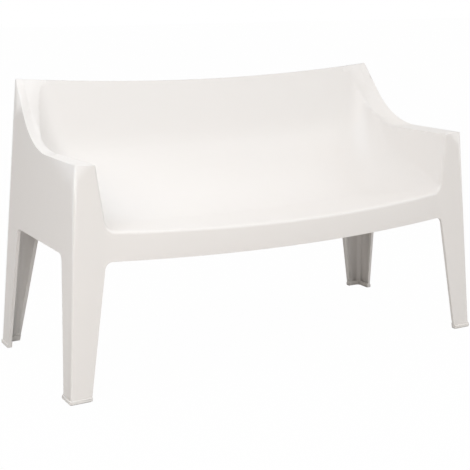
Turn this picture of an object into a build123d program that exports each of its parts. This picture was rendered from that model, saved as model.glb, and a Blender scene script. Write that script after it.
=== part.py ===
from build123d import *
import math
import os

os.makedirs("parts", exist_ok=True)

# Two-seat garden bench: a one-piece moulded shell on four foot glides with soft pads.
# X runs along the bench, the front faces -Y, Z is up, and the floor is Z = 0.
# The origin is on the floor at the middle of the bench's outer box. Millimetres.

# Outer block: the drafted box whose skin makes the arms, back, skirts and legs
foot_width = 1240.0          # across the outer leg faces at the floor
foot_depth = 551.0           # front to rear leg faces at the floor
side_draft = 0.0725          # how far each side leans in per unit of height
front_draft = 0.037
rear_draft = 0.0983
arm_height = 575.0
back_height_corner = 746.0
back_dip = 25.0              # how much lower the back's top edge is in the middle
sweep_angle = 51.5           # slope of the rim's outer line where it climbs from arm to back
sweep_radius = 232.0
inner_sweep_angle = 64.0     # the same for the rim's inner line, which turns later
inner_sweep_radius = 185.0
arm_top_width = 52.0         # across an arm's top, where it starts to climb
rim_top_width = 20.0         # across the climbing rim, where it meets the back's top
inner_line_drop = 5.0        # how much lower the inner line lies on the arms
inner_top_lead = 3.0         # how far forward of the outer line it meets the top
arris_radius = 5.0           # upright outer corners
rim_lead = 7.0               # how far forward of the rear face the rim's outer line meets the top
leg_inner_radius = 12.0      # upright inner corners
seat_edge_radius = 8.0       # rounding of the seat's front edge and up the arms' fronts

# Walls
wall_foot = 7.5              # skin thickness at the floor
wall_rim = 5.5               # skin thickness at the top of the arms
wall_seat = 6.0
bead_width = 10.0            # thicker strip round each opening
bead_depth = 8.5
bead_above_glide = 8.0       # where the strips start, above the glides' upstands

# Front apron
apron_bulge = 40.0           # how far the middle of the apron stands forward
flat_front_width = 112.0     # from the side faces to where the bulge would start, at the floor
apron_fade_radius = 250.0    # hollow between the bulge and the flat fronts
apron_height_middle = 68.0   # from the seat's front edge down to the apron's lower edge
apron_height_end = 57.0

# Seat and back: the inside surface
seat_front_height = 395.0
seat_slope = 4.5             # degrees down towards the back
back_lean = 10.0             # degrees from upright
knee_radius = 250.0
back_rim = 7.5               # thickness of the back at its top edge
seat_crown = 20.0            # how much higher the seat is at its ends
back_hollow = 12.0           # how much further forward the back is at its ends
arm_base_width = 83.0        # across an arm at its front, at arm_base_rise above the seat's edge
arm_base_rise = 32.0
arm_lean = 0.125             # outward lean of the arms' inner walls per unit of height
arm_splay = 0.028            # outward lean per unit of depth
arm_hollow = 3.0             # how much further out those walls go beside the back
corner_radius_front = 14.0   # between the seat and an arm, at the seat's front edge
corner_radius_top = 85.0     # between the back and an arm, at the back's top edge
corner_radius_knee = 145.0   # the same where the seat turns up into the back
corner_swell = 1.3           # how fast that radius grows away from the ends

# Openings between the legs
opening_corner_radius = 20.0
front_leg_width = 54.0       # seen from the front, at the floor
front_gap_slope = 0.16       # how fast that half gap narrows going up
rear_leg_width = 49.0
rear_gap_slope = 0.203
rear_skirt_height = 43.0     # from the seat's front edge down to the rear opening's top
side_gap_front = 51.0        # from the front leg's face to the side opening, at the floor
side_gap_front_slope = 0.115
side_gap_rear = 59.0         # from the rear leg's face to the side opening, at the floor
side_gap_rear_slope = 0.178
side_skirt_height = 43.0

# Ribs under the seat
rib_depth = 24.0
rib_thickness = 4.0
front_rib_setback = 60.0     # first long rib, behind the legs' front faces
long_rib_pitch = 95.0
long_rib_count = 3
cross_rib_count = 5

# Foot glides and pads
lip_proud = 4.0
lip_height = 11.0
lip_radius = 2.5
glide_base = 3.6
upstand_height = 16.0
upstand_wall = 2.5
glide_clearance = 0.2
peg_diameter = 3.4
peg_height = 7.0
peg_clearance = 0.1
pad_thickness = 2.0
pad_recess = 1.2
pad_margin = 2.5
pad_clearance = 0.1

# Levels and places worked out from the sizes above
back_height_middle = back_height_corner - back_dip
inner_line_half = foot_width / 2 - side_draft * arm_height - arm_top_width
apron_half_span = foot_width / 2 - flat_front_width
apron_bottom_middle = seat_front_height - apron_height_middle
apron_bottom_end = seat_front_height - apron_height_end
arm_gap_height = seat_front_height + arm_base_rise
arm_gap_half = foot_width / 2 - side_draft * arm_gap_height - arm_base_width
front_gap_half = foot_width / 2 - front_leg_width
rear_gap_half = foot_width / 2 - rear_leg_width
rear_gap_top = seat_front_height - rear_skirt_height
side_gap_top = seat_front_height - side_skirt_height
glide_bottom = pad_thickness - pad_recess
bead_start = upstand_height + bead_above_glide
upward = (Align.CENTER, Align.CENTER, Align.MIN)
leg_end = glide_bottom + glide_base
apron_reach = apron_bulge - front_draft * apron_bottom_middle
front_y = -(foot_depth + apron_reach + lip_proud) / 2 + apron_reach
rear_y = front_y + foot_depth
gap_cut_reach = 2 * apron_bulge

# How far the solids that only cut or limit others run past what they cut
block_top = back_height_corner + 60.0
below_floor = -20.0
cut_margin = 1.0
past_skin = 30.0
past_corner = 5.0
rim_past_skin = 0.5
past_front = 60.0
past_top = 6.5

# The sections of the seat's hollow fan out round a line parallel to X
fan_setback = 145.0          # from the legs' front faces
fan_above_back = 15.0
fan_y = front_y + fan_setback
fan_z = back_height_corner + fan_above_back
fan_hub = 5.0                # how far from that line the sections are closed
station_count = 12
stations_past_back = 2
fan_margin = 10.0            # how far past the apron the hollow's first section starts
arm_hollow_from = 12.0       # angle from straight down where the arms' hollow starts

# Tests that pick edges
edge_tolerance = 0.05
upright = 0.9                # least vertical share of an upright edge's direction


def skin(z):
    """Skin thickness at height z, thinning evenly from the floor to the arms' top."""
    return wall_foot + (wall_rim - wall_foot) * z / arm_height


def plan_wire(z, inset):
    """Outline of the block at height z, set in all round by inset."""
    half = foot_width / 2 - side_draft * z - inset
    front = front_y + front_draft * z + inset
    rear = rear_y - rear_draft * z - inset
    # the bulge is a circle, and a hollow arc on each side leads it into the flat front
    circle = (apron_half_span ** 2 + apron_bulge ** 2) / (2 * apron_bulge)
    centre = front - apron_bulge + circle
    fade = apron_fade_radius
    flat_x = math.sqrt((circle + fade) ** 2 - (centre - front + fade) ** 2)
    turn = math.atan2(flat_x, centre - front + fade)
    round_x = circle * math.sin(turn)
    round_y = centre - circle * math.cos(turn)
    fade_x = flat_x - fade * math.sin(turn / 2)
    fade_y = front - fade + fade * math.cos(turn / 2)
    return Wire([
        Edge.make_line((flat_x, front, z), (half, front, z)),
        Edge.make_line((half, front, z), (half, rear, z)),
        Edge.make_line((half, rear, z), (-half, rear, z)),
        Edge.make_line((-half, rear, z), (-half, front, z)),
        Edge.make_line((-half, front, z), (-flat_x, front, z)),
        Edge.make_three_point_arc((-flat_x, front, z), (-fade_x, fade_y, z), (-round_x, round_y, z)),
        Edge.make_three_point_arc((-round_x, round_y, z), (0, front - apron_bulge, z),
                                  (round_x, round_y, z)),
        Edge.make_three_point_arc((round_x, round_y, z), (fade_x, fade_y, z), (flat_x, front, z)),
    ])


def block(low, high, inset_low, inset_high, radius):
    """The drafted block between two heights, with rounded upright corners."""
    wires = [plan_wire(low, inset_low), plan_wire(high, inset_high)]
    body = Solid.make_loft(wires, ruled=True)
    reach = foot_width / 2 - side_draft * high - inset_high
    uprights = [edge for edge in body.edges()
                if abs(edge.center().X) > reach and abs(edge.tangent_at(0.5).Z) > upright]
    return fillet(uprights, radius)


def outer_block(grow, low, high):
    return block(low, high, -grow, -grow, arris_radius + grow)


def inner_block(extra, low=below_floor, high=block_top, radius=leg_inner_radius):
    return block(low, high, skin(low) + extra, skin(high) + extra, radius)


def rim_bend(level, angle, radius, top_y):
    """The bend of a rim line that climbs to the back's top at top_y: (start, half, end, turn, length)."""
    turn = math.radians(angle)
    corner = top_y - (back_height_corner - level) / math.tan(turn)
    run = radius * math.tan(turn / 2)
    start = (corner - run, level)
    half = (start[0] + radius * math.sin(turn / 2), level + radius * (1 - math.cos(turn / 2)))
    end = (corner + run * math.cos(turn), level + run * math.sin(turn))
    return start, half, end, turn, radius * turn


def rim_lines(bends):
    """Each rim line as (y, z) points: level from past the front, bent, then climbing past the top.

    The straight runs are the same shares of the bend's length in every line, so that the
    surface between two lines stays smooth where the bends start and end.
    """
    level_share = max((start[0] - front_y + past_front) / length for start, _, _, _, length in bends)
    climb_share = max((back_height_corner + past_top - end[1]) / math.sin(turn) / length
                      for _, _, end, turn, length in bends)
    lines = []
    for start, half, end, turn, length in bends:
        climb = climb_share * length
        front = (start[0] - level_share * length, start[1])
        top = (end[0] + climb * math.cos(turn), end[1] + climb * math.sin(turn))
        lines.append([front, start, half, end, top])
    return lines


def rim_side(line, place):
    """Closed outline of everything below and behind a rim line, where place gives (x, y, z)."""
    front, start, half, end, top = line
    y_back = rear_y + past_skin
    return Wire([
        Edge.make_line(place(front[0], below_floor), place(*front)),
        Edge.make_line(place(*front), place(*start)),
        Edge.make_three_point_arc(place(*start), place(*half), place(*end)),
        Edge.make_line(place(*end), place(*top)),
        Edge.make_line(place(*top), place(y_back, top[1])),
        Edge.make_line(place(y_back, top[1]), place(y_back, below_floor)),
        Edge.make_line(place(y_back, below_floor), place(front[0], below_floor)),
    ])


def under_rim(drop):
    """Everything below the line of the arms, the sweep and the back, lowered by drop.

    Between its outer and inner lines the rim twists: nearly level over the arms, it turns
    to face the sitter where it climbs, and it narrows towards the top.
    """
    top_y = rear_y - rear_draft * back_height_corner - rim_lead
    inner_top_y = top_y - inner_top_lead + drop / math.sin(math.radians(inner_sweep_angle))
    outer, inner = rim_lines([
        rim_bend(arm_height - drop, sweep_angle, sweep_radius + drop,
                 top_y + drop / math.sin(math.radians(sweep_angle))),
        rim_bend(arm_height - inner_line_drop - drop, inner_sweep_angle,
                 inner_sweep_radius + drop, inner_top_y),
    ])
    inner_top_half = foot_width / 2 - side_draft * back_height_corner - rim_top_width
    splay = (inner_top_half - inner_line_half) / (inner_top_y - inner[1][0])

    def inner_x(y):
        return inner_line_half + splay * (y - inner[1][0])

    # the twisted surface is carried on outwards to just past the skin
    past = []
    for (y, z), (inner_y, inner_z) in zip(outer, inner):
        width = foot_width / 2 - side_draft * z - inner_x(inner_y)
        stretch = (width + rim_past_skin) / width
        past.append((inner_y + (y - inner_y) * stretch, inner_z + (z - inner_z) * stretch))
    sides = Solid.make_loft([
        rim_side(past, lambda y, z: (side_draft * z - foot_width / 2 - rim_past_skin, y, z)),
        rim_side(inner, lambda y, z: (-inner_x(y), y, z)),
        rim_side(inner, lambda y, z: (inner_x(y), y, z)),
        rim_side(past, lambda y, z: (foot_width / 2 + rim_past_skin - side_draft * z, y, z)),
    ], ruled=True)
    # the back's top edge is an arc that runs on past the corners
    corner_x = foot_width / 2 - side_draft * back_height_corner
    arc_radius = (corner_x ** 2 + back_dip ** 2) / (2 * back_dip)
    end_x = corner_x + past_corner
    end_z = back_height_middle + arc_radius - math.sqrt(arc_radius ** 2 - end_x ** 2)
    left = (-end_x, 0, end_z - drop)
    right = (end_x, 0, end_z - drop)
    back = Wire([
        Edge.make_three_point_arc(left, (0, 0, back_height_middle - drop), right),
        Edge.make_line(right, (foot_width, 0, block_top)),
        Edge.make_line((foot_width, 0, block_top), (foot_width, 0, below_floor)),
        Edge.make_line((foot_width, 0, below_floor), (-foot_width, 0, below_floor)),
        Edge.make_line((-foot_width, 0, below_floor), (-foot_width, 0, block_top)),
        Edge.make_line((-foot_width, 0, block_top), left),
    ])
    return sides & extrude(Face(back), amount=2 * foot_depth, dir=(0, 1, 0), both=True)


def hollow_stations():
    """Stations along the seat and back on the centre line, front to top.

    Each is (y, z, outward y, outward z, corner radius, rise at the ends).
    """
    slope = math.radians(seat_slope)
    lean = math.radians(back_lean)
    edge = (front_y + front_draft * seat_front_height - apron_bulge, seat_front_height)
    top = (rear_y - rear_draft * back_height_middle - back_rim, back_height_middle)
    span = top[0] - edge[0]
    rise = top[1] - edge[1]
    along = (span - rise * math.tan(lean)) / (1 + math.tan(slope) * math.tan(lean))
    knee = (edge[0] + along, edge[1] - along * math.tan(slope))
    turn = math.pi / 2 - lean + slope
    run = knee_radius * math.tan(turn / 2)
    seat_length = along / math.cos(slope) - run
    bend_length = knee_radius * turn
    back_length = (top[1] - knee[1]) / math.cos(lean) - run
    length = seat_length + bend_length + back_length
    bend = (edge[0] + seat_length * math.cos(slope), edge[1] - seat_length * math.sin(slope))
    centre = (bend[0] + knee_radius * math.sin(slope), bend[1] + knee_radius * math.cos(slope))

    def station(distance):
        past_bend = distance - seat_length - bend_length
        share = min(max((distance - seat_length) / bend_length, 0.0), 1.0)
        angle = turn * share - math.pi / 2 - slope
        out = (math.cos(angle), math.sin(angle))
        straight = min(distance - seat_length, 0.0) + max(past_bend, 0.0)
        y = centre[0] + knee_radius * out[0] - straight * out[1]
        z = centre[1] + knee_radius * out[1] + straight * out[0]
        way = min(max(distance / length, 0.0), 1.0)
        end_radius = corner_radius_front + (corner_radius_top - corner_radius_front) * way
        swell = math.sin(math.pi * way) ** corner_swell
        radius = end_radius + (corner_radius_knee - end_radius) * swell
        return (y, z, *out, radius, seat_crown + (back_hollow - seat_crown) * share)

    # the first fan plane clears the apron at the height of the arms
    tilt = (fan_y - front_y + apron_bulge + fan_margin) / (fan_z - arm_height)
    ahead = ((tilt * (fan_z - edge[1]) - fan_y + edge[0])
             / (math.cos(slope) + tilt * math.sin(slope)))
    step = length / station_count
    first = -math.ceil(ahead / step)
    return [station(step * i) for i in range(first, station_count + stations_past_back + 1)]


def hollow_section(station, grow):
    """Closed trough-shaped section in the fan plane through a station."""
    y, z, out_y, out_z, radius, rise = station
    y += grow * out_y
    z += grow * out_z
    depth = math.hypot(y - fan_y, fan_z - z)
    sine = (y - fan_y) / depth
    cosine = (fan_z - z) / depth
    # each arm's inner wall is a plane, so it crosses the fan plane in a straight line
    wall_y = front_y + front_draft * arm_gap_height
    lean = arm_splay * sine - arm_lean * cosine
    turned = math.degrees(math.asin(sine))
    share = min(max((turned - arm_hollow_from) / (90.0 - arm_hollow_from), 0.0), 1.0)
    start = (arm_gap_half + arm_lean * (fan_z - arm_gap_height) + arm_splay * (fan_y - wall_y)
             + arm_hollow * math.sin(math.pi * share) ** 2
             + grow * math.sqrt(1 + arm_lean ** 2 + arm_splay ** 2))
    half = start + lean * depth
    sag = rise / (out_y * sine - out_z * cosine)
    floor_radius = (half ** 2 + sag ** 2) / (2 * sag)
    floor_centre = depth - floor_radius
    # the corner arc touches the wall's line and the floor's arc
    corner = radius + grow
    slant = math.hypot(1.0, lean)
    offset = start - corner * slant
    reach = floor_radius - corner
    half_b = offset * lean - floor_centre
    root = half_b ** 2 - slant ** 2 * (offset ** 2 + floor_centre ** 2 - reach ** 2)
    corner_depth = (-half_b + math.sqrt(root)) / slant ** 2
    corner_x = offset + lean * corner_depth
    to_wall = (1 / slant, -lean / slant)
    to_floor = (corner_x / reach, (corner_depth - floor_centre) / reach)
    size = math.hypot(to_wall[0] + to_floor[0], to_wall[1] + to_floor[1])
    between = ((to_wall[0] + to_floor[0]) / size, (to_wall[1] + to_floor[1]) / size)

    def place(side, x, d):
        return (side * x, fan_y + d * sine, fan_z - d * cosine)

    def corner_point(side, direction):
        return place(side, corner_x + corner * direction[0], corner_depth + corner * direction[1])

    hub_left = place(-1, start + lean * fan_hub, fan_hub)
    hub_right = place(1, start + lean * fan_hub, fan_hub)
    return Wire([
        Edge.make_line(hub_left, corner_point(-1, to_wall)),
        Edge.make_three_point_arc(corner_point(-1, to_wall), corner_point(-1, between),
                                  corner_point(-1, to_floor)),
        Edge.make_three_point_arc(corner_point(-1, to_floor), place(1, 0.0, depth),
                                  corner_point(1, to_floor)),
        Edge.make_three_point_arc(corner_point(1, to_floor), corner_point(1, between),
                                  corner_point(1, to_wall)),
        Edge.make_line(corner_point(1, to_wall), hub_right),
        Edge.make_line(hub_right, hub_left),
    ])


def hollow(grow):
    """The space a sitter uses, from the apron's edge to above the back, grown by grow."""
    return Solid.make_loft([hollow_section(station, grow) for station in hollow_stations()])


def opening_face(low_left, top_left, top_middle, top_right, low_right, radius):
    """A gap between two legs: slanting sides, an arched or level top, rounded top corners."""
    top = (Edge.make_line(top_left, top_right) if top_middle is None
           else Edge.make_three_point_arc(top_left, top_middle, top_right))
    face = Face(Wire([
        Edge.make_line(low_left, top_left),
        top,
        Edge.make_line(top_right, low_right),
        Edge.make_line(low_right, low_left),
    ]))
    top_corners = [vertex for vertex in face.vertices() if vertex.Z > 0]
    return face.fillet_2d(radius, top_corners)


def front_opening(grow):
    """The gap under the apron, made larger all round by grow."""
    slant = math.hypot(1.0, front_gap_slope)
    top = apron_bottom_end + grow
    low_half = front_gap_half - front_gap_slope * below_floor + grow * slant
    top_half = front_gap_half - front_gap_slope * top + grow * slant
    face = opening_face(
        (-low_half, front_y, below_floor), (-top_half, front_y, top),
        (0, front_y, apron_bottom_middle + grow),
        (top_half, front_y, top), (low_half, front_y, below_floor),
        opening_corner_radius + grow)
    return extrude(face, amount=gap_cut_reach, dir=(0, -1, 0), both=True)


def rear_opening(grow):
    slant = math.hypot(1.0, rear_gap_slope)
    top = rear_gap_top + grow
    low_half = rear_gap_half - rear_gap_slope * below_floor + grow * slant
    top_half = rear_gap_half - rear_gap_slope * top + grow * slant
    face = opening_face(
        (-low_half, rear_y, below_floor), (-top_half, rear_y, top), None,
        (top_half, rear_y, top), (low_half, rear_y, below_floor),
        opening_corner_radius + grow)
    return extrude(face, amount=gap_cut_reach, dir=(0, 1, 0), both=True)


def side_opening(side, grow):
    top = side_gap_top + grow
    front = front_y + side_gap_front - grow * math.hypot(1.0, side_gap_front_slope)
    rear = rear_y - side_gap_rear + grow * math.hypot(1.0, side_gap_rear_slope)
    x = side * foot_width / 2
    face = opening_face(
        (x, front + side_gap_front_slope * below_floor, below_floor),
        (x, front + side_gap_front_slope * top, top), None,
        (x, rear - side_gap_rear_slope * top, top),
        (x, rear - side_gap_rear_slope * below_floor, below_floor),
        opening_corner_radius + grow)
    return extrude(face, amount=gap_cut_reach, dir=(1, 0, 0), both=True)


def openings(grow):
    return [front_opening(grow), rear_opening(grow), side_opening(-1, grow), side_opening(1, grow)]


def edge_beads():
    """The skin round each opening, out to its thicker free edge."""
    inside = block(below_floor, arm_height, bead_depth, bead_depth, leg_inner_radius)
    above_glides = Pos(0, 0, bead_start) * Box(foot_width, 2 * foot_depth, arm_height, align=upward)
    return [(grown - inside) & above_glides for grown in openings(bead_width)]


def seat_ribs():
    """A grid of ribs that hangs from the underside of the seat."""
    depth_zone = hollow(wall_seat + rib_depth)
    first_y = front_y + front_rib_setback
    last_y = first_y + (long_rib_count - 1) * long_rib_pitch
    pitch_x = 2 * arm_gap_half / (cross_rib_count + 1)
    tall = Box(2 * arm_gap_half, rib_thickness, seat_front_height)
    slabs = [Pos(0, first_y + i * long_rib_pitch, seat_front_height) * tall
             for i in range(long_rib_count)]
    across = Box(rib_thickness, last_y - first_y, seat_front_height)
    slabs += [Pos((i + 1) * pitch_x - arm_gap_half, (first_y + last_y) / 2, seat_front_height) * across
              for i in range(cross_rib_count)]
    return [slab & depth_zone for slab in slabs]


def peg_places():
    """Where the glides' pegs go up into the ends of the legs, two to a leg."""
    middle = skin(leg_end) / 2
    along_x = foot_width / 2 - side_draft * leg_end
    front = front_y + front_draft * leg_end
    rear = rear_y - rear_draft * leg_end
    half_gap_front = front_gap_half - front_gap_slope * leg_end
    half_gap_rear = rear_gap_half - rear_gap_slope * leg_end
    front_side = (front + front_y + side_gap_front) / 2
    rear_side = (rear + rear_y - side_gap_rear) / 2
    places = []
    for side in (-1, 1):
        places.append((side * (along_x + half_gap_front) / 2, front + middle))
        places.append((side * (along_x - middle), front_side))
        places.append((side * (along_x + half_gap_rear) / 2, rear - middle))
        places.append((side * (along_x - middle), rear_side))
    return places


def pegs(diameter, height):
    """Round pegs that start inside the glides' base and end height above the leg's end."""
    sunk = glide_base / 2
    return [Pos(x, y, leg_end - sunk) * Cylinder(diameter / 2, height + sunk, align=upward)
            for x, y in peg_places()]


def edges_between(body, first, second):
    """Edges of a body that lie on the surfaces of two other bodies."""
    skins = [first.shells()[0], second.shells()[0]]
    touching = []
    for edge in body.edges():
        points = [Vertex(*edge.position_at(share)) for share in (0.2, 0.5, 0.8)]
        if all(skin_shell.distance_to(point) < edge_tolerance for skin_shell in skins for point in points):
            touching.append(edge)
    return touching


def outer_form():
    """The outside of the shell, solid inside, with the sitter's space cut out of it."""
    space = hollow(0.0)
    drafted = outer_block(0.0, leg_end, block_top)
    form = ((drafted & under_rim(0.0)) - space).solids()[0]
    front_edges = [edge for edge in edges_between(form, space, drafted) if edge.center().Y < 0]
    return fillet(front_edges, seat_edge_radius)


def moulded_shell():
    void = (inner_block(0.0) & under_rim(wall_rim)) - hollow(wall_seat)
    for solid in edge_beads() + seat_ribs():
        void = void - solid
    shell = outer_form() - void
    for gap in openings(0.0):
        shell = shell - gap
    for peg in pegs(peg_diameter + 2 * peg_clearance, peg_height + peg_clearance):
        shell = shell - peg
    return shell


def ring(low, high, outer_grow, inner_extra):
    """A band of the skin between two heights, from outside it to inside it."""
    layer = Pos(0, 0, low) * Box(2 * foot_width, 2 * foot_depth, high - low, align=upward)
    outside = outer_block(outer_grow, below_floor, block_top) & layer
    return outside - inner_block(inner_extra, low - cut_margin, high + cut_margin)


def cut_to_legs(band, past_edge):
    """Keep what is left of a band at the four legs, to past_edge beyond their free edges."""
    for gap in openings(-past_edge):
        band = band - gap
    return band


def foot_glides():
    """Four L-shaped shoes: a base under the wall, a lip outside it and an upstand inside.

    They end flush with the legs' free edges, where the channel for the wall is open.
    """
    gap = glide_clearance
    lip_block = outer_block(lip_proud, glide_bottom, lip_height)
    lip_rims = [edge for edge in lip_block.edges()
                if min(abs(edge.center().Z - lip_height), abs(edge.center().Z - glide_bottom))
                < edge_tolerance]
    lip_block = fillet(lip_rims, lip_radius)
    core = inner_block(gap + upstand_wall, below_floor, lip_height + cut_margin)
    shoe = (lip_block - core) + ring(glide_bottom, upstand_height, -wall_foot / 2, gap + upstand_wall)
    shoe = cut_to_legs(shoe, 0.0)
    channel = cut_to_legs(ring(leg_end, upstand_height + cut_margin, gap, gap), glide_clearance)
    shoe = shoe - channel
    for peg in pegs(peg_diameter, peg_height):
        shoe = shoe + peg
    return shoe - foot_pads(pad_clearance, pad_thickness)


def foot_pads(clearance, height):
    """The pads' L-shaped strips, or with a clearance the grooves that they sit in."""
    inset = pad_margin - clearance
    strip = ring(0.0, height, lip_proud - inset, glide_clearance + upstand_wall - inset)
    return cut_to_legs(strip, -inset)


def leg_name(solid):
    end = "front" if solid.center().Y < 0 else "rear"
    side = "left" if solid.center().X < 0 else "right"
    return end + "_" + side


export_step(moulded_shell(), "parts/moulded_shell.step")
for glide in foot_glides().solids():
    export_step(glide, "parts/foot_glide_" + leg_name(glide) + ".step")
for pad in foot_pads(0.0, pad_thickness).solids():
    export_step(pad, "parts/foot_pad_" + leg_name(pad) + ".step")
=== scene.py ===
import math

import bmesh
import bpy
from mathutils import Matrix, Vector


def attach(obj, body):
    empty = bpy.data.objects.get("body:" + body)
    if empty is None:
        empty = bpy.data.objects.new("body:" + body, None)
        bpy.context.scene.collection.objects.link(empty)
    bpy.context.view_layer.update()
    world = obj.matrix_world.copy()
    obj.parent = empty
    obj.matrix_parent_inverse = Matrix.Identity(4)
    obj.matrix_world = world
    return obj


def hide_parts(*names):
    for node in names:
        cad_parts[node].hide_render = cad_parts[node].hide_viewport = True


# White moulded garden bench: one shell on four foot glides with soft pads.
# Everything is in metres, with the front facing -Y and the floor at Z = 0.

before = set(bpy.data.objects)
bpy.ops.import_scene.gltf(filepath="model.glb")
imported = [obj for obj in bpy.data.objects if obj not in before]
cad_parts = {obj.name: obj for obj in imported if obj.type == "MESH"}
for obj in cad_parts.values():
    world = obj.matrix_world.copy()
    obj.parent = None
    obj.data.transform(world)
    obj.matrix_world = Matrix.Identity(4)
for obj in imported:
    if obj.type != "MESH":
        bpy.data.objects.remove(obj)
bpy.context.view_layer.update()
scene = bpy.context.scene
scene.view_settings.view_transform = "Standard"
print("frame loaded:", len(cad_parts), "nodes")


class Wire:
    # a shader socket with sums: each operator adds its own Math node

    def __init__(self, graph, socket):
        self.graph = graph
        self.socket = socket

    def math(self, operation, first, second):
        return self.graph.add("ShaderNodeMath", {"operation": operation}, {0: first, 1: second})

    def __add__(self, other):
        return self.math("ADD", self, other)

    def __radd__(self, other):
        return self.math("ADD", other, self)

    def __sub__(self, other):
        return self.math("SUBTRACT", self, other)

    def __rsub__(self, other):
        return self.math("SUBTRACT", other, self)

    def __mul__(self, other):
        return self.math("MULTIPLY", self, other)

    def __rmul__(self, other):
        return self.math("MULTIPLY", other, self)

    def clamped(self):
        return self.math("MINIMUM", self.math("MAXIMUM", self, 0.0), 1.0)


noiseMiddle = 0.5              # a noise swings about this value


class Graph:
    # a node tree of a material or of the world, with one method that adds any node

    def __init__(self, tree):
        self.tree = tree
        tree.nodes.clear()

    def add(self, kind, settings=None, values=None, output=0):
        node = self.tree.nodes.new(kind)
        for name, value in (settings or {}).items():
            setattr(node, name, value)
        for name, value in (values or {}).items():
            if isinstance(value, Wire):
                self.tree.links.new(value.socket, node.inputs[name])
            else:
                node.inputs[name].default_value = value
        return Wire(self, node.outputs[output]) if len(node.outputs) else node

    def mixColour(self, factor, first, second):
        # sockets 0, 6 and 7 are a Mix node's factor and its two colours, and 2 its colour result
        settings = {"data_type": "RGBA", "blend_type": "MIX"}
        return self.add("ShaderNodeMix", settings, {0: factor, 6: first, 7: second}, output=2)

    def noise(self, place, pattern):
        return self.add("ShaderNodeTexNoise", None, {
            "Vector": place, "Scale": 1 / pattern["size"],
            "Detail": pattern["detail"], "Roughness": pattern["harshness"]})

    def bump(self, height, depth, **below):
        return self.add("ShaderNodeBump", None, {
            "Strength": 1.0, "Distance": depth, "Height": height, **below})

    def belowHeight(self, place, height):
        # 1 on the floor, 0 from this height up
        up = self.add("ShaderNodeSeparateXYZ", None, {"Vector": place}, output="Z")
        return (1.0 - up * (1 / height)).clamped()


def newMaterial(name):
    material = bpy.data.materials.new(name)
    material.use_nodes = True
    return material, Graph(material.node_tree)


# Satin polymer of the shell: fine spark-eroded grain, faint flow and cooling marks
shellFinish = {
    "colour": (0.850, 0.826, 0.802, 1.0),
    "coolColour": (0.838, 0.820, 0.800, 1.0),
    "flow": {"size": 0.35, "detail": 3.0, "harshness": 0.5},      # the tone's slow changes
    "wave": {"size": 0.045, "detail": 1.0, "harshness": 0.4},     # sink and cooling waves
    "waveDepth": 0.00006,
    "grain": {"size": 0.0011, "detail": 3.0, "harshness": 0.6},   # pitch of the moulded grain
    "grainDepth": 0.00006,
    "rub": {"size": 1 / 14, "detail": 5.0, "harshness": 0.65},    # patches of wear and dust
    "roughness": 0.40,
    "roughnessSpread": 0.07,
    "dustColour": (0.640, 0.610, 0.570, 1.0),
    "dustHeight": 0.030,       # how far dust climbs from the floor
    "dustAmount": 0.10,
    "refraction": 1.49,
    "coat": 0.12,
    "coatRoughness": 0.28,
    "creaseAngle": 25.0,       # degrees, edges that turn more than this stay sharp
}


def makeShellPolymer():
    material, graph = newMaterial("satinShellPolymer")
    place = graph.add("ShaderNodeTexCoord", output="Object")
    flow = graph.noise(place, shellFinish["flow"])
    wave = graph.noise(place, shellFinish["wave"])
    grain = graph.noise(place, shellFinish["grain"])
    rub = graph.noise(place, shellFinish["rub"])
    tone = graph.mixColour(flow, shellFinish["colour"], shellFinish["coolColour"])
    dust = graph.belowHeight(place, shellFinish["dustHeight"]) * rub
    tone = graph.mixColour(dust * shellFinish["dustAmount"], tone, shellFinish["dustColour"])
    spread = (rub - noiseMiddle) * shellFinish["roughnessSpread"]
    spread = spread + (grain - noiseMiddle) * shellFinish["roughnessSpread"]
    rough = spread + shellFinish["roughness"]
    slow = graph.bump(wave, shellFinish["waveDepth"])
    fine = graph.bump(grain, shellFinish["grainDepth"], Normal=slow)
    shader = graph.add("ShaderNodeBsdfPrincipled", None, {
        "Base Color": tone, "Roughness": rough, "Normal": fine,
        "IOR": shellFinish["refraction"], "Coat Weight": shellFinish["coat"],
        "Coat Roughness": shellFinish["coatRoughness"]})
    graph.add("ShaderNodeOutputMaterial", None, {"Surface": shader})
    return material


# Polyamide of the foot glides: smoother and a little denser in colour than the shell
glideFinish = {
    "colour": (0.820, 0.800, 0.776, 1.0),
    "grain": {"size": 0.0016, "detail": 2.0, "harshness": 0.5},
    "grainDepth": 0.00003,
    "marks": {"size": 0.00625, "detail": 6.0, "harshness": 0.7},  # scrapes from the ground
    "scuffColour": (0.560, 0.530, 0.490, 1.0),
    "scuffHeight": 0.006,      # scuffs reach this far up the lip
    "scuffAmount": 0.30,
    "scuffRoughness": 0.2,
    "roughness": 0.34,
    "roughnessSpread": 0.06,
    "refraction": 1.53,
    "creaseAngle": 35.0,
}


def makeGlidePolymer():
    material, graph = newMaterial("smoothGlidePolymer")
    place = graph.add("ShaderNodeTexCoord", output="Object")
    grain = graph.noise(place, glideFinish["grain"])
    marks = graph.noise(place, glideFinish["marks"])
    scuff = graph.belowHeight(place, glideFinish["scuffHeight"]) * marks
    tone = graph.mixColour(scuff * glideFinish["scuffAmount"], glideFinish["colour"],
                           glideFinish["scuffColour"])
    spread = (grain - noiseMiddle) * glideFinish["roughnessSpread"]
    rough = scuff * glideFinish["scuffRoughness"] + spread + glideFinish["roughness"]
    shader = graph.add("ShaderNodeBsdfPrincipled", None, {
        "Base Color": tone, "Roughness": rough,
        "Normal": graph.bump(grain, glideFinish["grainDepth"]),
        "IOR": glideFinish["refraction"]})
    graph.add("ShaderNodeOutputMaterial", None, {"Surface": shader})
    return material


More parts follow.
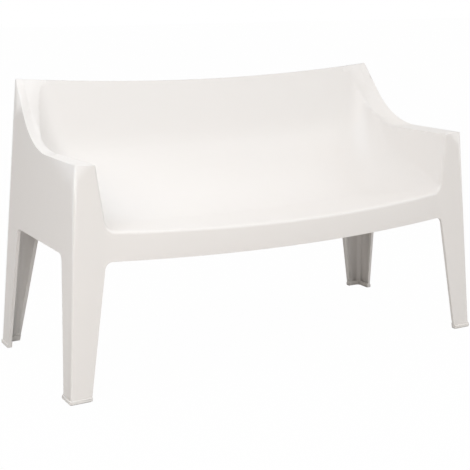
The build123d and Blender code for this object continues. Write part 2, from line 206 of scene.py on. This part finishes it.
# Soft elastomer of the pads: matt, slightly speckled, darker in worn patches
padFinish = {
    "colour": (0.345, 0.335, 0.315, 1.0),
    "wornColour": (0.230, 0.220, 0.205, 1.0),
    "wear": {"size": 1 / 70, "detail": 4.0, "harshness": 0.6},
    "speck": {"size": 0.0008, "detail": 4.0, "harshness": 0.7},
    "speckDepth": 0.00008,
    "roughness": 0.78,
    "roughnessSpread": 0.2,
    "refraction": 1.45,
    "creaseAngle": 35.0,
}


def makePadRubber():
    material, graph = newMaterial("softPadRubber")
    place = graph.add("ShaderNodeTexCoord", output="Object")
    speck = graph.noise(place, padFinish["speck"])
    wear = graph.noise(place, padFinish["wear"])
    tone = graph.mixColour(wear, padFinish["colour"], padFinish["wornColour"])
    rough = (speck - noiseMiddle) * padFinish["roughnessSpread"] + padFinish["roughness"]
    shader = graph.add("ShaderNodeBsdfPrincipled", None, {
        "Base Color": tone, "Roughness": rough,
        "Normal": graph.bump(speck, padFinish["speckDepth"]),
        "IOR": padFinish["refraction"]})
    graph.add("ShaderNodeOutputMaterial", None, {"Surface": shader})
    return material


shellPolymer = makeShellPolymer()
glidePolymer = makeGlidePolymer()
padRubber = makePadRubber()
print("finishes made: shell, glides, pads")

mergeDistance = 0.00002        # corners of a solid's triangles that lie closer become one


def mergedCopy(node, pieceName):
    # a CAD node's mesh is loose triangles, so its copy is merged before anything else
    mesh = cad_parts[node].data.copy()
    mesh.name = pieceName
    piece = bpy.data.objects.new(pieceName, mesh)
    scene.collection.objects.link(piece)
    shape = bmesh.new()
    shape.from_mesh(mesh)
    bmesh.ops.remove_doubles(shape, verts=shape.verts, dist=mergeDistance)
    bmesh.ops.dissolve_degenerate(shape, edges=shape.edges, dist=mergeDistance)
    shape.to_mesh(mesh)
    shape.free()
    return piece


def makePiece(node, pieceName, material, finish):
    piece = mergedCopy(node, pieceName)
    piece.data.materials.clear()
    piece.data.materials.append(material)
    for face in piece.data.polygons:
        face.use_smooth = True
        face.material_index = 0
    piece.data.set_sharp_from_angle(angle=math.radians(finish["creaseAngle"]))
    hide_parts(node)
    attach(piece, "root")
    return piece


shell = makePiece("moulded_shell", "benchShell", shellPolymer, shellFinish)
print("shell:", len(shell.data.polygons), "faces")

for end in ("front", "rear"):
    for side in ("left", "right"):
        corner = end + "_" + side
        cornerName = end.title() + side.title()
        makePiece("foot_glide_" + corner, "footGlide" + cornerName,
                  glidePolymer, glideFinish)
        makePiece("foot_pad_" + corner, "footPad" + cornerName,
                  padRubber, padFinish)
print("feet: 4 glides and 4 pads")

# Camera: in front and to the left, a little under a metre up
cameraSpec = {
    "place": (-1.43358, -2.55159, 0.96134),
    "yaw": -29.1,              # degrees from straight ahead, as the next two
    "pitch": 12.8,             # how far it looks down
    "roll": -0.4,
    "lens": 81.31,             # millimetres, as the sensor
    "sensor": 36.0,
    "shift": (-0.00447, 0.00021),
    "farthest": 100.0,
}


def makeCamera():
    yaw = math.radians(cameraSpec["yaw"])
    pitch = math.radians(cameraSpec["pitch"])
    roll = math.radians(cameraSpec["roll"])
    level = Vector((math.sin(yaw), -math.cos(yaw), 0))
    back = math.cos(pitch) * level + Vector((0, 0, math.sin(pitch)))
    right = (-back).cross(Vector((0, 0, 1))).normalized()
    up = right.cross(-back)
    turnedRight = math.cos(roll) * right + math.sin(roll) * up
    turnedUp = math.cos(roll) * up - math.sin(roll) * right
    axes = Matrix((turnedRight, turnedUp, back)).transposed()
    data = bpy.data.cameras.new("benchCamera")
    data.lens = cameraSpec["lens"]
    data.sensor_width = cameraSpec["sensor"]
    data.shift_x, data.shift_y = cameraSpec["shift"]
    data.clip_end = cameraSpec["farthest"]
    camera = bpy.data.objects.new("benchCamera", data)
    camera.matrix_world = Matrix.Translation(cameraSpec["place"]) @ axes.to_4x4()
    scene.collection.objects.link(camera)
    scene.camera = camera


# White floor and room, and the soft light of the room
roomLight = {
    "zenithColour": (1.0, 0.87, 0.765, 1.0),
    "zenithLevel": 0.61,       # light from straight overhead, none from the horizon
    "sideColour": (0.915, 0.965, 1.0, 1.0),
    "sideLevel": 0.70,         # light from the right, half of it from ahead and none from the left
    "floorColour": (0.65, 0.64, 0.63, 1.0),
    "floorGlow": 0.987,        # share of the floor's picture that is plain white
    "floorHalf": 30.0,
    "plainWhite": (1.0, 1.0, 1.0, 1.0),
    "plainLevel": 1.0,
}


def makeFloor():
    half = roomLight["floorHalf"]
    mesh = bpy.data.meshes.new("whiteFloor")
    mesh.from_pydata([(-half, -half, 0), (half, -half, 0), (half, half, 0), (-half, half, 0)], [],
                     [(0, 1, 2, 3)])
    material, graph = newMaterial("whiteFloor")
    cameraRay = graph.add("ShaderNodeLightPath", output="Is Camera Ray")
    matt = graph.add("ShaderNodeBsdfDiffuse", None, {"Color": roomLight["floorColour"]})
    glow = graph.add("ShaderNodeEmission", None, {
        "Color": roomLight["plainWhite"], "Strength": roomLight["plainLevel"]})
    mixed = graph.add("ShaderNodeMixShader", None, {
        0: cameraRay * roomLight["floorGlow"], 1: matt, 2: glow})
    graph.add("ShaderNodeOutputMaterial", None, {"Surface": mixed})
    mesh.materials.append(material)
    floor = bpy.data.objects.new("whiteFloor", mesh)
    scene.collection.objects.link(floor)


def makeRoom():
    world = bpy.data.worlds.new("whiteRoom")
    scene.world = world
    world.use_nodes = True
    graph = Graph(world.node_tree)
    cameraRay = graph.add("ShaderNodeLightPath", output="Is Camera Ray")
    ahead = graph.add("ShaderNodeTexCoord", output="Generated")
    across = graph.add("ShaderNodeSeparateXYZ", None, {"Vector": ahead}, output="X")
    up = graph.add("ShaderNodeSeparateXYZ", None, {"Vector": ahead}, output="Z")
    zenith = graph.add("ShaderNodeBackground", None, {
        "Color": roomLight["zenithColour"],
        "Strength": up.clamped() * roomLight["zenithLevel"]})
    side = graph.add("ShaderNodeBackground", None, {
        "Color": roomLight["sideColour"],
        "Strength": (1.0 + across) * (roomLight["sideLevel"] / 2)})
    soft = graph.add("ShaderNodeAddShader", None, {0: zenith, 1: side})
    white = graph.add("ShaderNodeBackground", None, {
        "Color": roomLight["plainWhite"], "Strength": roomLight["plainLevel"]})
    mixed = graph.add("ShaderNodeMixShader", None, {0: cameraRay, 1: soft, 2: white})
    graph.add("ShaderNodeOutputWorld", None, {"Surface": mixed})


# Three square softboxes, all turned to one point in the bench
lampAim = (0.0, 0.0, 0.4)
lamps = {
    "leftSoftbox": {
        "power": 47.0, "size": 2.0, "place": (-2.6, -2.4, 2.2), "colour": (1.0, 0.936, 0.880)},
    "rightSoftbox": {
        "power": 18.2, "size": 2.0, "place": (2.4, -2.6, 2.2), "colour": (0.921, 0.962, 1.0)},
    "highSoftbox": {
        "power": 24.8, "size": 2.0, "place": (-1.6, -0.6, 2.8), "colour": (0.686, 0.847, 1.0)},
}


def makeLamps():
    for name, lampSpec in lamps.items():
        data = bpy.data.lights.new(name, "AREA")
        data.energy = lampSpec["power"]
        data.size = lampSpec["size"]
        data.color = lampSpec["colour"]
        lamp = bpy.data.objects.new(name, data)
        towards = Vector(lampAim) - Vector(lampSpec["place"])
        lamp.matrix_world = (Matrix.Translation(lampSpec["place"])
                             @ towards.to_track_quat("-Z", "Y").to_matrix().to_4x4())
        lamp.visible_camera = False
        scene.collection.objects.link(lamp)


makeCamera()
makeFloor()
makeRoom()
makeLamps()
print("camera, floor, room and lamps set")
